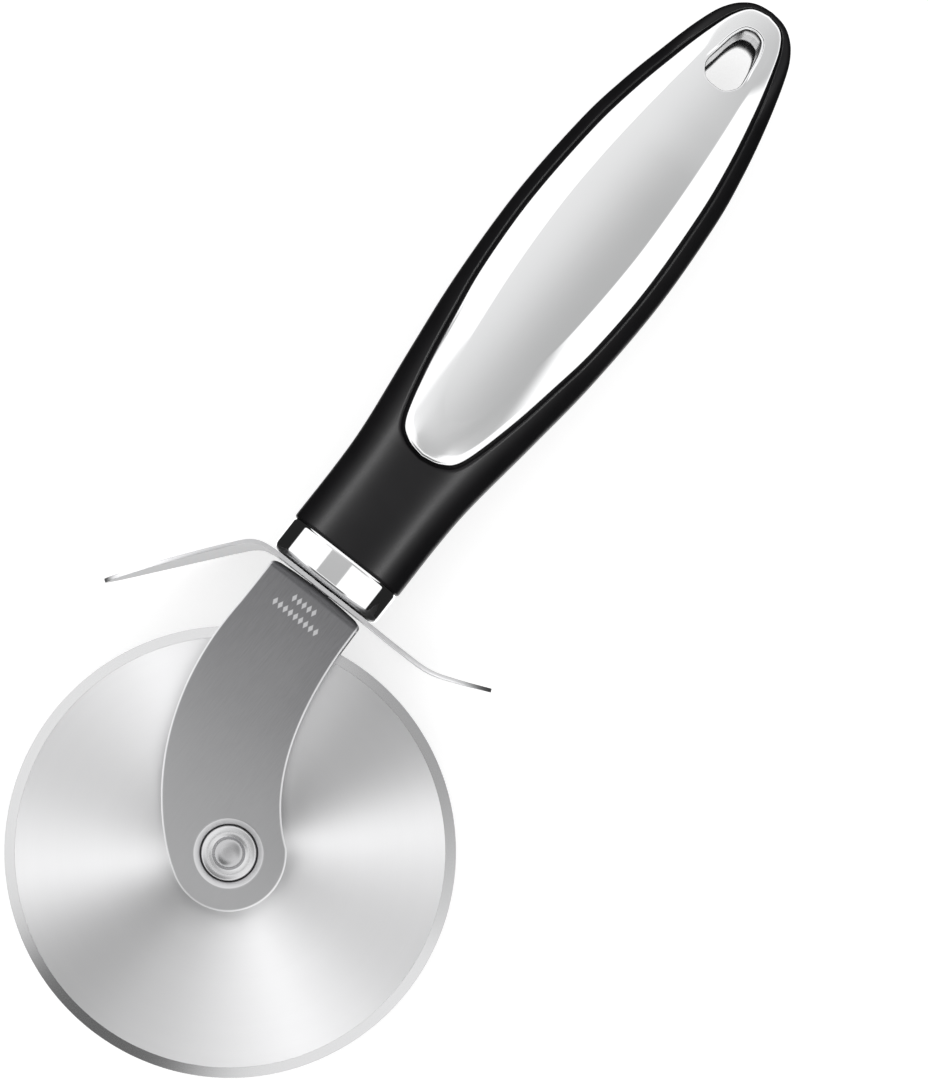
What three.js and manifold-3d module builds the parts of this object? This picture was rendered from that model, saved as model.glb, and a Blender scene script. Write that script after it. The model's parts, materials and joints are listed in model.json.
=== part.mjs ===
// Pastry cutter wheel: an 80 mm cutting wheel that turns on a riveted axle between the two
// cheeks of a folded yoke, with a thumb guard, a ferrule and a soft grip with two bright inlays.
//
// Millimetres, +Z up. The tool lies flat: +Z runs along the axle, +Y along the handle towards
// the hang hole. Pieces are drawn round the axle, which is at x = 0, y = 0, z = 0, and one outer
// group then lifts the tool onto the surface it lies on.

import * as THREE from 'three';
import { mergeVertices } from 'three/addons/utils/BufferGeometryUtils.js';
import Module from 'manifold-3d';

const wasm = await Module();
wasm.setup();

// ---- driving dimensions -------------------------------------------------------------------

const wheelRadius = 40;
const wheelThickness = 1;
const groundEdge = 1.9; // width of the bevel that is ground on the wheel
const cuttingEdge = 0.12; // what is left of the thickness at the rim

const handleX = -16.1; // the handle's axis runs beside the axle
const handleTip = 176.85;
const restHalf = 10.6; // from the wheel's plane to the surface the tool lies on

const seat = 0.05; // gap under a washer or a rivet's head
const fit = 0.1; // gap between pieces that touch on the real tool
const wallFit = 0.2; // gap round a piece that sits in a pocket

const sheet = 1.4; // yoke
const cheekOuter = 4.5; // outer face of a cheek, from the wheel's plane
const dishDepth = 1.5; // how far each cheek is pressed in round the axle
const noseRadius = 10.2; // round end of a cheek
const yokeTop = 46.2;

const guardSheet = 0.7;
const guardY = 46.65; // middle of the guard's sheet where it is clamped
const ferruleBase = 47.15;
const gripBase = 53.8;

const tangRadius = 1.95;
const tangHole = 2.3;
const insertRadius = 3;

const pinRadius = 1.5;
const pinPlaces = [92, 118, 144]; // along the handle

// ---- solids ---------------------------------------------------------------------------------

function toSolid(geometry) {
  const bare = geometry.clone();
  bare.deleteAttribute('normal');
  bare.deleteAttribute('uv');
  const merged = mergeVertices(bare, 1e-4);
  const corners = [];
  const all = merged.index.array;
  for (let i = 0; i < all.length; i += 3) {
    const [a, b, c] = all.slice(i, i + 3);
    if (a !== b && b !== c && c !== a) corners.push(a, b, c);
  }
  const mesh = new wasm.Mesh({
    numProp: 3,
    vertProperties: merged.attributes.position.array,
    triVerts: new Uint32Array(corners),
  });
  return new wasm.Manifold(mesh);
}

function toGeometry(solid) {
  const mesh = solid.getMesh();
  const geometry = new THREE.BufferGeometry();
  geometry.setAttribute('position', new THREE.BufferAttribute(mesh.vertProperties, 3));
  geometry.setIndex(new THREE.BufferAttribute(mesh.triVerts, 1));
  geometry.computeVertexNormals();
  return geometry;
}

// A piece turned about Z from a profile of [radius, z] points, from low to high on its outside.
// A profile that starts off the axis is a ring's, so it closes on itself.
function turned(profile, segments) {
  const points = profile.map(([r, z]) => new THREE.Vector2(r, z));
  if (points[0].x > 0) points.push(points[0].clone());
  return new THREE.LatheGeometry(points, segments).rotateX(Math.PI / 2);
}

function ring(inner, outer, low, high, segments = 32) {
  return turned([[inner, low], [outer, low], [outer, high], [inner, high]], segments);
}

function rod(radius, low, high, segments = 24) {
  return turned([[0, low], [radius, low], [radius, high], [0, high]], segments);
}

// Turns a piece made about Z so that it runs along +Y instead, on the handle's axis.
function alongHandle(geometry) {
  return geometry.rotateX(-Math.PI / 2).translate(handleX, 0, 0);
}

function prism(shape, low, high, curveSegments = 12) {
  const settings = { depth: high - low, bevelEnabled: false, curveSegments };
  return new THREE.ExtrudeGeometry(shape, settings).translate(0, 0, low);
}

// Skins a row of rings that all have the same number of points, and closes both ends.
function loft(rings) {
  const count = rings[0].length;
  const middle = (points) => {
    const sum = points.reduce((total, p) => total.add(p), new THREE.Vector3());
    return sum.divideScalar(count);
  };
  const points = [...rings.flat(), middle(rings[0]), middle(rings.at(-1))];
  const start = points.length - 2;
  const lastRing = (rings.length - 1) * count;
  const index = [];
  for (let k = 0; k < count; k += 1) {
    const next = (k + 1) % count;
    for (let r = 0; r < lastRing; r += count) {
      index.push(r + k, r + next, r + count + k);
      index.push(r + next, r + count + next, r + count + k);
    }
    index.push(start, next, k);
    index.push(start + 1, lastRing + k, lastRing + next);
  }
  const geometry = new THREE.BufferGeometry().setFromPoints(points);
  geometry.setIndex(index);
  geometry.computeVertexNormals();
  return geometry;
}

// ---- the handle's lines ---------------------------------------------------------------------

// A smooth line through [y, value] points, read as a function of y.
function lineThrough(points) {
  const slope = points.map((_, i) => {
    const before = points[Math.max(i - 1, 0)];
    const after = points[Math.min(i + 1, points.length - 1)];
    return (after[1] - before[1]) / (after[0] - before[0]);
  });
  return (y) => {
    const k = Math.max(1, points.slice(0, -1).filter((p) => p[0] <= y).length) - 1;
    const [[y0, v0], [y1, v1]] = [points[k], points[k + 1]];
    const span = y1 - y0;
    const t = THREE.MathUtils.clamp((y - y0) / span, 0, 1);
    const rise = t * t * (3 - 2 * t);
    const bend = span * t * (1 - t) * (slope[k] * (1 - t) - slope[k + 1] * t);
    return v0 + (v1 - v0) * rise + bend;
  };
}

// Half-width of the grip seen from above.
const gripOutline = new THREE.SplineCurve([
  [gripBase, 11.55], [66, 11.55], [75, 12.05], [90, 13.9], [105, 15.5], [123, 16.2],
  [140, 15.3], [150, 13.85], [160, 11.6], [169, 8.85], [173.1, 6.85], [175.4, 4.6],
  [176.4, 2.5], [handleTip, 0.6],
].map(([y, half]) => new THREE.Vector2(y, half)));

// Half-width of an inlay, from its rounded end by the neck to the tip.
const inlayOutline = [
  [0, 75.3], [3.6, 76.2], [6.35, 79.15], [9, 88.9], [10.8, 98.8], [12.2, 108.6], [12.85, 122.4],
  [12.1, 138.1], [10.9, 148], [8.95, 158], [6.45, 167.4], [4.95, 171.6], [3, 174.05], [0, 174.85],
];

const bellyFrom = 104;
const bellyTo = 132; // the flat stretch that the tool lies on
const inlayRise = 0.35; // the inlay stands this far proud of the grip
const gripTop = lineThrough([ // half-thickness of the grip
  [gripBase, 9.6], [68, 9.6], [80, 9.9], [92, 10.2], [bellyFrom, restHalf - inlayRise],
  [bellyTo, restHalf - inlayRise], [142, 9.6], [150, 8.5], [160, 6.9], [168, 5.8], [174, 5.05],
  [176.2, 4.6], [handleTip, 3.6],
]);
const landTop = (y) => {
  if (y >= bellyFrom && y <= bellyTo) return restHalf;
  return Math.min(gripTop(y) + inlayRise, restHalf);
};

// Half-width of the inlay's middle land, and of the line its sloped sides run down to.
const landHalf = lineThrough([
  [74, 1.6], [85, 3.9], [100, 6.3], [112, 7.7], [126, 8.3], [138, 8], [150, 7.1], [161, 5.4],
  [170, 3.9], [178, 2.6],
]);
const edgeHalf = lineThrough([
  [74, 5.2], [85, 8], [100, 11.05], [112, 12.6], [124, 13.1], [140, 12.35], [150, 11.1],
  [160, 9.1], [169, 6.6], [178, 5],
]);
const inlayFloor = (y) => 0.58 * landTop(y);

// Where the inlays, and the ledges and core under them, take their sections.
const stations = [74, 80, 86, 94, bellyFrom, 112, 122, bellyTo, 139, 146, 153, 160, 168, 178];

const squareness = 2.8; // how boxy the handle's section is: 2 would be an ellipse

// A closed oval across the handle at y.
function oval(y, half, top, count = 28) {
  const bulge = (value) => Math.sign(value) * Math.abs(value) ** (2 / squareness);
  return Array.from({ length: count }, (_, k) => {
    const angle = (-2 * Math.PI * k) / count;
    const [x, z] = [half * bulge(Math.cos(angle)), top * bulge(Math.sin(angle))];
    return new THREE.Vector3(handleX + x, y, z);
  });
}

// Height of the grip's skin at a distance from the axis.
function skinAt(y, half, away) {
  const share = Math.min(away / half, 0.999);
  return gripTop(y) * (1 - share ** squareness) ** (1 / squareness);
}

// An outline of [half, y] points mirrored about the handle's axis, moved out by grow.
function mirroredOutline(points, grow = 0, divisions = 40) {
  const side = new THREE.SplineCurve(points.map(([half, y]) => new THREE.Vector2(half, y)));
  const right = Array.from({ length: divisions + 1 }, (_, k) => {
    const t = k / divisions;
    const p = side.getPointAt(t);
    const way = side.getTangentAt(t);
    if (k === 0 || k === divisions) return [0, p.y + (k ? grow : -grow)];
    return [Math.max(0, p.x + way.y * grow), p.y - way.x * grow];
  });
  const left = right.slice(1, -1).reverse().map(([half, y]) => [-half, y]);
  return new THREE.Shape([...right, ...left].map(([x, y]) => new THREE.Vector2(handleX + x, y)));
}

const hangHole = [
  [0, 158.3], [1.3, 158.4], [2.45, 159], [3.65, 161.1], [3.2, 164.5], [2.7, 167.5], [1.85, 169.6],
  [0.95, 170.2], [0, 170.4],
];
const collarWall = 1.3;

// ---- pieces ---------------------------------------------------------------------------------

const steel = new THREE.MeshStandardMaterial({ color: 0xc4c6c8, metalness: 1, roughness: 0.32 });
const satin = new THREE.MeshStandardMaterial({ color: 0x9c9ea0, metalness: 1, roughness: 0.45 });
const bright = new THREE.MeshStandardMaterial({ color: 0xe6e7e9, metalness: 1, roughness: 0.08 });
const brass = new THREE.MeshStandardMaterial({ color: 0xb5904a, metalness: 1, roughness: 0.35 });
const nylon = new THREE.MeshStandardMaterial({ color: 0xe9e7e0, metalness: 0, roughness: 0.5 });
const softBlack = new THREE.MeshStandardMaterial({ color: 0x1f1f20, metalness: 0, roughness: 0.55 });
const coreBlack = new THREE.MeshStandardMaterial({ color: 0x2a2a2b, metalness: 0, roughness: 0.6 });

const tool = new THREE.Group();

function addPiece(name, geometry, material, group = tool) {
  const mesh = new THREE.Mesh(geometry, material);
  mesh.name = name;
  group.add(mesh);
  return mesh;
}

// The wheel and what turns with it.
const boreRadius = 4;
const axleRadius = 2.3;
const thrustRadius = 6;
const dishInner = cheekOuter - sheet - dishDepth;

function addWheelGroup() {
  const wheelGroup = new THREE.Group();
  const half = wheelThickness / 2;
  const flat = wheelRadius - groundEdge;
  const edge = cuttingEdge / 2;
  const blade = turned([
    [boreRadius, -half], [flat, -half], [wheelRadius, -edge],
    [wheelRadius, edge], [flat, half], [boreRadius, half],
  ], 80);
  addPiece('cutting_wheel', blade, steel, wheelGroup);

  const stack = dishInner - 0.15; // side clearance to each cheek
  const runningFit = 0.08;
  const bushing = ring(axleRadius + runningFit, boreRadius - fit, -stack, stack);
  addPiece('wheel_bushing', bushing, nylon, wheelGroup);
  const thrust = ring(boreRadius + fit, thrustRadius, half + seat, stack);
  addPiece('front_thrust_washer', thrust, nylon, wheelGroup);
  addPiece('rear_thrust_washer', thrust.clone().rotateX(Math.PI), nylon, wheelGroup);
  tool.add(wheelGroup);
}

// The axle: a rivet through both cheeks, with a washer under each formed head.
function addAxle() {
  const dishFloor = cheekOuter - dishDepth;
  const washerBase = dishFloor + seat;
  const washerTop = washerBase + 0.9;
  const headBase = washerTop + seat;
  const headTop = headBase + 1.1;
  const washer = turned([
    [axleRadius + fit, washerBase], [4.6, washerBase], [4.9, washerBase + 0.3],
    [4.7, washerTop - 0.15], [4.3, washerTop], [axleRadius + fit, washerTop],
  ], 28);
  addPiece('front_rivet_washer', washer, bright);
  addPiece('rear_rivet_washer', washer.clone().rotateX(Math.PI), bright);

  const headRadius = 2.8;
  const dome = [[0, 1], [0.5, 0.93], [0.85, 0.62], [1, 0.18], [1, 0]];
  const rivet = turned([
    ...dome.map(([r, rise]) => [r * headRadius, -headBase - rise * (headTop - headBase)]),
    [axleRadius, -headBase], [axleRadius, headBase],
    ...dome.map(([r, rise]) => [r * headRadius, headBase + rise * (headTop - headBase)]).reverse(),
  ], 24);
  addPiece('axle_rivet', rivet, bright);
}

// A cheek seen from the front: square at the top, sweeping across to a round nose at the axle.
function cheekShape() {
  const half = 9.65;
  const corner = 1.2;
  const shape = new THREE.Shape();
  const [left, right] = [handleX - half, handleX + half];
  const noseStart = THREE.MathUtils.degToRad(43);
  const noseEnd = THREE.MathUtils.degToRad(-120);
  shape.moveTo(right - corner, yokeTop);
  shape.quadraticCurveTo(right, yokeTop, right, yokeTop - corner);
  shape.lineTo(right + 0.1, 40);
  shape.bezierCurveTo(
    -5.6, 26, -1.5, 13.5, noseRadius * Math.cos(noseStart), noseRadius * Math.sin(noseStart),
  );
  shape.absarc(0, 0, noseRadius, noseStart, noseEnd, true);
  shape.bezierCurveTo(-13.5, -4, -27.3, 11, left - 0.05, 36);
  shape.lineTo(left, yokeTop - corner);
  shape.quadraticCurveTo(left, yokeTop, left + corner, yokeTop);
  return shape;
}

// One strip folded into a U: the side view is cut from the cheek outline, then dished.
function addYoke() {
  const cheeks = toSolid(prism(cheekShape(), -cheekOuter, cheekOuter, 14));
  const inner = cheekOuter - sheet;
  const foot = -noseRadius - 5;
  const fold = 2; // outer radius of each fold
  const side = new THREE.Shape();
  side.moveTo(-cheekOuter, foot);
  side.lineTo(-inner, foot);
  side.lineTo(-inner, yokeTop - fold);
  side.absarc(-cheekOuter + fold, yokeTop - fold, fold - sheet, Math.PI, Math.PI / 2, true);
  side.absarc(cheekOuter - fold, yokeTop - fold, fold - sheet, Math.PI / 2, 0, true);
  side.lineTo(inner, foot);
  side.lineTo(cheekOuter, foot);
  side.absarc(cheekOuter - fold, yokeTop - fold, fold, 0, Math.PI / 2, false);
  side.absarc(-cheekOuter + fold, yokeTop - fold, fold, Math.PI / 2, Math.PI, false);
  side.closePath();
  const reach = wheelRadius;
  const strip = toSolid(prism(side, -reach, reach, 5).rotateY(Math.PI / 2));

  let yoke = cheeks.intersect(strip);
  const flare = 0.9; // how much wider a dish is at its mouth
  const dishRadius = 5.3;
  for (const way of [1, -1]) {
    const turnOver = (geometry) => (way > 0 ? geometry : geometry.rotateX(Math.PI));
    const boss = turned([
      [0, inner - dishDepth], [dishRadius + 0.9, inner - dishDepth],
      [dishRadius + 0.9 + flare, inner + 0.3], [0, inner + 0.3],
    ], 28);
    const hollow = turned([
      [0, cheekOuter - dishDepth], [dishRadius, cheekOuter - dishDepth],
      [dishRadius + flare, cheekOuter], [dishRadius + flare, cheekOuter + 1],
      [0, cheekOuter + 1],
    ], 28);
    yoke = yoke.add(toSolid(turnOver(boss))).subtract(toSolid(turnOver(hollow)));
  }
  yoke = yoke.subtract(toSolid(rod(axleRadius + fit, -6, 6)));
  yoke = yoke.subtract(toSolid(alongHandle(rod(tangHole, yokeTop - 4, yokeTop + 1))));
  addPiece('yoke', toGeometry(yoke), satin);
}

// The guard is one strip bent into an S: its left end droops to the wheel, its right end rises.
function addThumbGuard() {
  const line = new THREE.SplineCurve([
    [-47.2, 24], [-42.2, 30.7], [-37.1, 37.3], [-33.1, 42.3], [-30.2, 45.5], [-27.2, guardY - 0.1],
    [-22, guardY], [handleX, guardY], [-8, guardY], [2, guardY - 0.1], [7.9, 46.8], [12.9, 48.45],
    [18.8, 51],
  ].map(([x, y]) => new THREE.Vector2(x, y)));
  const steps = 36;
  const spine = Array.from({ length: steps + 1 }, (_, k) => {
    const p = line.getPointAt(k / steps);
    const way = line.getTangentAt(k / steps);
    const off = new THREE.Vector2(-way.y, way.x).multiplyScalar(guardSheet / 2);
    return [p.clone().add(off), p.clone().sub(off)];
  });
  const outline = [...spine.map((pair) => pair[1]), ...spine.map((pair) => pair[0]).reverse()];
  const strip = toSolid(prism(new THREE.Shape(outline), -restHalf, restHalf));

  // Seen from below the strip is a long leaf with rounded ends.
  const [from, to] = [-47.8, 19.4];
  const tipHalf = 3.4;
  const leaf = new THREE.Shape();
  leaf.moveTo(from, -tipHalf * 0.6);
  leaf.bezierCurveTo(from + 1, -tipHalf - 1.6, -40, -restHalf, -29, -restHalf - 0.05);
  leaf.lineTo(0, -restHalf - 0.05);
  leaf.bezierCurveTo(9, -restHalf, to - 1, -tipHalf - 1.6, to, -tipHalf * 0.6);
  leaf.lineTo(to, tipHalf * 0.6);
  leaf.bezierCurveTo(to - 1, tipHalf + 1.6, 9, restHalf, 0, restHalf + 0.05);
  leaf.lineTo(-29, restHalf + 0.05);
  leaf.bezierCurveTo(-40, restHalf, from + 1, tipHalf + 1.6, from, tipHalf * 0.6);
  leaf.closePath();
  const plan = toSolid(prism(leaf, 0, 70).rotateX(-Math.PI / 2));
  const hole = toSolid(alongHandle(rod(tangHole, guardY - 2, guardY + 2)));
  addPiece('thumb_guard', toGeometry(strip.intersect(plan).subtract(hole)), steel);
}

const ferruleHalf = 11.3;
const ferruleTop = 9.45;
const ferruleWall = 1.2;

// A drawn cup whose floor is clamped on the guard and whose wall takes the core's end.
function addFerrule() {
  const inset = [[0, 1.4], [0.2, 0.75], [0.6, 0.25], [1.4, 0], [5.95, 0], [6.45, 0.15]];
  const rings = inset.map(([rise, cut]) => (
    oval(ferruleBase + rise, ferruleHalf - cut, ferruleTop - cut)
  ));
  const bowl = [ferruleBase + 1.2, gripBase + 1].map((y) => (
    oval(y, ferruleHalf - ferruleWall, ferruleTop - ferruleWall, 24)
  ));
  const hole = toSolid(alongHandle(rod(tangHole, ferruleBase - 1, ferruleBase + 3)));
  const cup = toSolid(loft(rings)).subtract(toSolid(loft(bowl))).subtract(hole);
  addPiece('ferrule', toGeometry(cup), bright);
}

const webInner = yokeTop - sheet;
const lockWasher = 0.6;
const screwLength = 15;

// The screw that pulls yoke, guard and ferrule up against the handle.
function addTang() {
  const headTop = webInner - lockWasher - 2 * seat;
  const [headHeight, headRadius, chamfer] = [2, 2.6, 0.4];
  const headBase = headTop - headHeight;
  const screw = turned([
    [0, headBase], [headRadius - chamfer, headBase], [headRadius, headBase + chamfer],
    [headRadius, headTop], [tangRadius, headTop], [tangRadius, headTop + screwLength - chamfer],
    [tangRadius - chamfer, headTop + screwLength], [0, headTop + screwLength],
  ], 24);
  const [slotWidth, slotDepth] = [1, 0.8];
  const slot = new THREE.BoxGeometry(8, slotWidth, 2 * slotDepth)
    .translate(0, 0, headBase);
  addPiece('tang_screw', alongHandle(toGeometry(toSolid(screw).subtract(toSolid(slot)))), steel);
  const washerBase = headTop + seat;
  const washer = ring(tangRadius + fit, headRadius, washerBase, washerBase + lockWasher, 24);
  addPiece('tang_lock_washer', alongHandle(washer), steel);
  const insert = ring(tangRadius + fit, insertRadius, ferruleBase + 1.6, ferruleBase + 12.6, 24);
  addPiece('threaded_insert', alongHandle(insert), brass);
}

const spigotHalf = 8.4;
const spigotTop = 5.5;
const spigotEnd = 86;
const coreFrom = 80;
const coreTo = 156.5;
const coreHalf = [
  [0, coreFrom], [3.2, coreFrom + 1.6], [5.6, 86], [8.2, 96], [10.2, 110], [11, 124],
  [10.2, 140], [8.6, 150], [6.4, 154.6], [3.4, 156.1], [0, coreTo],
];

// A slab across the handle whose faces follow height(y), cut later to an outline.
function slab(height) {
  const reach = 20;
  return loft(stations.map((y) => {
    const z = height(y);
    return [[-reach, -z], [-reach, z], [reach, z], [reach, -z]].map(([x, h]) => (
      new THREE.Vector3(handleX + x, y, h)
    ));
  }));
}

// The stiff core: a spigot for the ferrule and neck, and a blade that carries both inlays.
function addHandleCore() {
  const blade = toSolid(slab((y) => inlayFloor(y) - wallFit))
    .intersect(toSolid(prism(mirroredOutline(coreHalf, 0, 20), -restHalf, restHalf)));
  const socket = ferruleBase + 1.4;
  const collarHalf = ferruleHalf - ferruleWall - wallFit;
  const collarTop = ferruleTop - ferruleWall - wallFit;
  const collar = loft([socket, gripBase - fit].map((y) => oval(y, collarHalf, collarTop, 24)));
  const spigot = loft([gripBase - 1, spigotEnd].map((y) => oval(y, spigotHalf, spigotTop, 24)));
  let core = blade.add(toSolid(spigot)).add(toSolid(collar));
  const insertHole = rod(insertRadius + fit, socket - 1, ferruleBase + 13);
  core = core.subtract(toSolid(alongHandle(insertHole)));
  for (const y of pinPlaces) {
    core = core.subtract(toSolid(rod(pinRadius + fit, -9, 9, 16).translate(handleX, y, 0)));
  }
  addPiece('handle_core', toGeometry(core), coreBlack);
}

// The soft grip: a neck tube that opens into a ring round the core, with a ledge for each inlay.
function addGrip() {
  const count = 26;
  const rings = Array.from({ length: count + 1 }, (_, k) => {
    const p = gripOutline.getPoint(k / count);
    return oval(p.x, p.y, gripTop(p.x));
  });
  let grip = toSolid(loft(rings));
  const groove = 0.35;
  const pocket = toSolid(prism(mirroredOutline(inlayOutline, groove, 30), -20, 20));
  const ledges = toSolid(slab((y) => inlayFloor(y) - fit));
  grip = grip.subtract(pocket.subtract(ledges));
  grip = grip.subtract(toSolid(prism(mirroredOutline(coreHalf, wallFit, 20), -20, 20)));
  const bore = loft([gripBase - 1, spigotEnd + fit].map((y) => (
    oval(y, spigotHalf + fit, spigotTop + fit, 24)
  )));
  grip = grip.subtract(toSolid(bore));
  const hole = mirroredOutline(hangHole, collarWall + wallFit, 12);
  grip = grip.subtract(toSolid(prism(hole, -20, 20)));
  addPiece('grip_sleeve', toGeometry(grip), softBlack);
}

// An inlay: a bright plate with a flat land and sloped sides, and a collar round the hang hole.
function inlaySolid() {
  const gripBand = 3; // width of the grip that shows beside an inlay
  const thinnestEdge = 0.8;
  const crown = loft(stations.map((y) => {
    const [land, edge, top] = [landHalf(y), edgeHalf(y), landTop(y)];
    const fall = (top - skinAt(y, edge + gripBand, edge) - inlayRise) / (edge - land);
    const reach = edge + 1.5; // the outline cuts the sides back to the edge
    const floor = inlayFloor(y);
    const side = Math.max(top - fall * (reach - land), floor + thinnestEdge);
    return [
      [-reach, floor], [-reach, side], [-land, top], [land, top], [reach, side], [reach, floor],
    ].map(([x, z]) => new THREE.Vector3(handleX + x, y, z));
  }));
  const plate = toSolid(crown)
    .intersect(toSolid(prism(mirroredOutline(inlayOutline, 0, 30), -20, 20)));
  const seam = 0.15; // half the joint between the two collars
  const collarOutline = mirroredOutline(hangHole, collarWall, 12);
  const collar = toSolid(prism(collarOutline, seam, inlayFloor(166) + 0.6));
  const hole = toSolid(prism(mirroredOutline(hangHole, 0, 12), -20, 20));
  let inlay = plate.add(collar).subtract(hole);
  for (const y of pinPlaces) {
    const socket = rod(pinRadius + fit, 0, inlayFloor(y) + 1.6, 16).translate(handleX, y, 0);
    inlay = inlay.subtract(toSolid(socket));
  }
  return inlay;
}

function addInlays() {
  const front = toGeometry(inlaySolid());
  addPiece('front_inlay', front, bright);
  const turnedOver = front.clone().translate(-handleX, 0, 0).rotateY(Math.PI);
  addPiece('rear_inlay', turnedOver.translate(handleX, 0, 0), bright);
  pinPlaces.forEach((y, k) => {
    const reach = inlayFloor(y) + 1.4;
    addPiece(`inlay_pin_${k + 1}`, rod(pinRadius, -reach, reach, 16).translate(handleX, y, 0), steel);
  });
}

addWheelGroup();
addAxle();
addYoke();
addThumbGuard();
addFerrule();
addTang();
addHandleCore();
addGrip();
addInlays();

// Sets the origin under the middle of the tool, on the surface it lies on.
const part = new THREE.Group();
part.add(tool);
const box = new THREE.Box3().setFromObject(tool);
const centre = box.getCenter(new THREE.Vector3());
tool.position.set(-centre.x, -centre.y, -box.min.z);

export default part;
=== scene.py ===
import json
import math

import bmesh
import bpy
from mathutils import Matrix, Vector


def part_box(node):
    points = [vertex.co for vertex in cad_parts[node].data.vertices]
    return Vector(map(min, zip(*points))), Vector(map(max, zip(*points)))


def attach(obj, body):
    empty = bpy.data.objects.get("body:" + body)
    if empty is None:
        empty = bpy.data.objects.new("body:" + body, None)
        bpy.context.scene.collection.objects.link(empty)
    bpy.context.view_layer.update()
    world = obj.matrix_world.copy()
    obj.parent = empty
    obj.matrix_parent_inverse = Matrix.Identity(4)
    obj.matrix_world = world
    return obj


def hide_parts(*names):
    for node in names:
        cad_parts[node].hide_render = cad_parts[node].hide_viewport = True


# A pastry cutter wheel lying on a pale floor. Sizes are in millimetres from the axle, in the
# frame's axes, and become metres in the frame when a piece is finished.

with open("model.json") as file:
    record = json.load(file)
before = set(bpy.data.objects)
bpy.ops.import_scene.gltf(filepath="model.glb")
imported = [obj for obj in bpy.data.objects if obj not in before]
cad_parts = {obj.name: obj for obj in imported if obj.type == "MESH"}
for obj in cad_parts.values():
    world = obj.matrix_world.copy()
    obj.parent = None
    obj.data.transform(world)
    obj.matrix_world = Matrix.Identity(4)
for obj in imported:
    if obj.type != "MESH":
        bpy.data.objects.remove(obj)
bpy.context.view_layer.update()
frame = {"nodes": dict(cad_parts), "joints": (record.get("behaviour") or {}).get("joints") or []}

MM = 0.001
AXLE = Vector(frame["joints"][0]["pos_m"])


def cad_box_mm(node):
    """The two corners of a node's box, in millimetres from the axle."""
    low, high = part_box(node)
    return (low - AXLE) / MM, (high - AXLE) / MM


ferrule_low, ferrule_high = cad_box_mm("ferrule")
grip_low, grip_high = cad_box_mm("grip_sleeve")
yoke_high = cad_box_mm("yoke")[1]
wheel_high = cad_box_mm("cutting_wheel")[1]

HANDLE_X = (ferrule_low.x + ferrule_high.x) / 2
REST_HALF = AXLE.z / MM
WHEEL_RADIUS = wheel_high.x
BLADE_HALF = wheel_high.z
CHEEK_OUTER = yoke_high.z
YOKE_TOP = yoke_high.y
SHEET = 1.4
DISH_DEPTH = 1.5
GRIP_BASE = grip_low.y
HANDLE_TIP = grip_high.y
INLAY_RISE = 0.35


# ---- lines ----------------------------------------------------------------------------------


def blend(share, low, high):
    return low + (high - low) * share


def ease(value, low, high):
    """0 below low, 1 above high, and smooth between them."""
    share = min(max((value - low) / (high - low), 0), 1)
    return share * share * (3 - 2 * share)


def line_through(*points):
    """A smooth line through (y, value) points, read as a function of y."""
    last = len(points) - 1
    slopes = []
    for k in range(last + 1):
        (y0, v0), (y1, v1) = points[max(k - 1, 0)], points[min(k + 1, last)]
        slopes.append((v1 - v0) / (y1 - y0))

    def value_at(y):
        k = max(sum(p[0] <= y for p in points[:-1]), 1) - 1
        (y0, v0), (y1, v1) = points[k], points[k + 1]
        span = y1 - y0
        t = min(max((y - y0) / span, 0), 1)
        bend = span * t * (1 - t) * (slopes[k] * (1 - t) - slopes[k + 1] * t)
        return v0 + (v1 - v0) * t * t * (3 - 2 * t) + bend

    return value_at


class Path:
    """A smooth line through flat points, read by the share of its length from 0 to 1."""

    def __init__(self, points, per=24):
        last = len(points) - 1
        self.points = []
        for k in range(last):
            around = points[max(k - 1, 0)], points[k], points[k + 1], points[min(k + 2, last)]
            for step in range(per):
                self.points.append(self.between(*around, step / per))
        self.points.append(Vector(points[-1]))
        self.lengths = [0.0]
        for a, b in zip(self.points, self.points[1:]):
            self.lengths.append(self.lengths[-1] + (b - a).length)
        self.length = self.lengths[-1]

    @staticmethod
    def between(p0, p1, p2, p3, t):
        a, b, c, d = (Vector(p) for p in (p0, p1, p2, p3))
        start, end = (c - a) / 2, (d - b) / 2
        cubic = 2 * b - 2 * c + start + end
        square = 3 * c - 3 * b - 2 * start - end
        return cubic * t**3 + square * t * t + start * t + b

    def spot(self, share):
        reach = min(max(share, 0), 1) * self.length
        k = max(sum(1 for x in self.lengths if x <= reach) - 1, 0)
        k = min(k, len(self.points) - 2)
        span = self.lengths[k + 1] - self.lengths[k]
        return k, (reach - self.lengths[k]) / span if span else 0

    def at(self, share):
        k, t = self.spot(share)
        return self.points[k].lerp(self.points[k + 1], t)

    def out(self, share, grow):
        """The point at share, moved off the line to its right-hand side by grow."""
        k, t = self.spot(share)
        step = 1e-3
        way = self.at(min(share + step, 1)) - self.at(max(share - step, 0))
        way.normalize()
        return self.points[k].lerp(self.points[k + 1], t) + Vector((way.y, -way.x)) * grow


def rounded(corners, radius, steps=5, closed=True):
    """Corners of a flat profile, each one softened by a short curve. A corner may give its own radius."""
    out, count = [], len(corners)
    for k, corner in enumerate(corners):
        here = Vector(corner[:2])
        size = corner[2] if len(corner) > 2 else radius
        if not closed and k in (0, count - 1):
            out.append(here)
            continue
        before, after = Vector(corners[k - 1][:2]), Vector(corners[(k + 1) % count][:2])
        size = min(size, (before - here).length * 0.49, (after - here).length * 0.49)
        if size <= 0:
            out.append(here)
            continue
        start, end = here + (before - here).normalized() * size, here + (after - here).normalized() * size
        for step in range(steps + 1):
            t = step / steps
            out.append(start.lerp(here, t).lerp(here.lerp(end, t), t))
    return out


# ---- meshes ---------------------------------------------------------------------------------


def ring_of(bm, points):
    return [bm.verts.new(p) for p in points]


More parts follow.
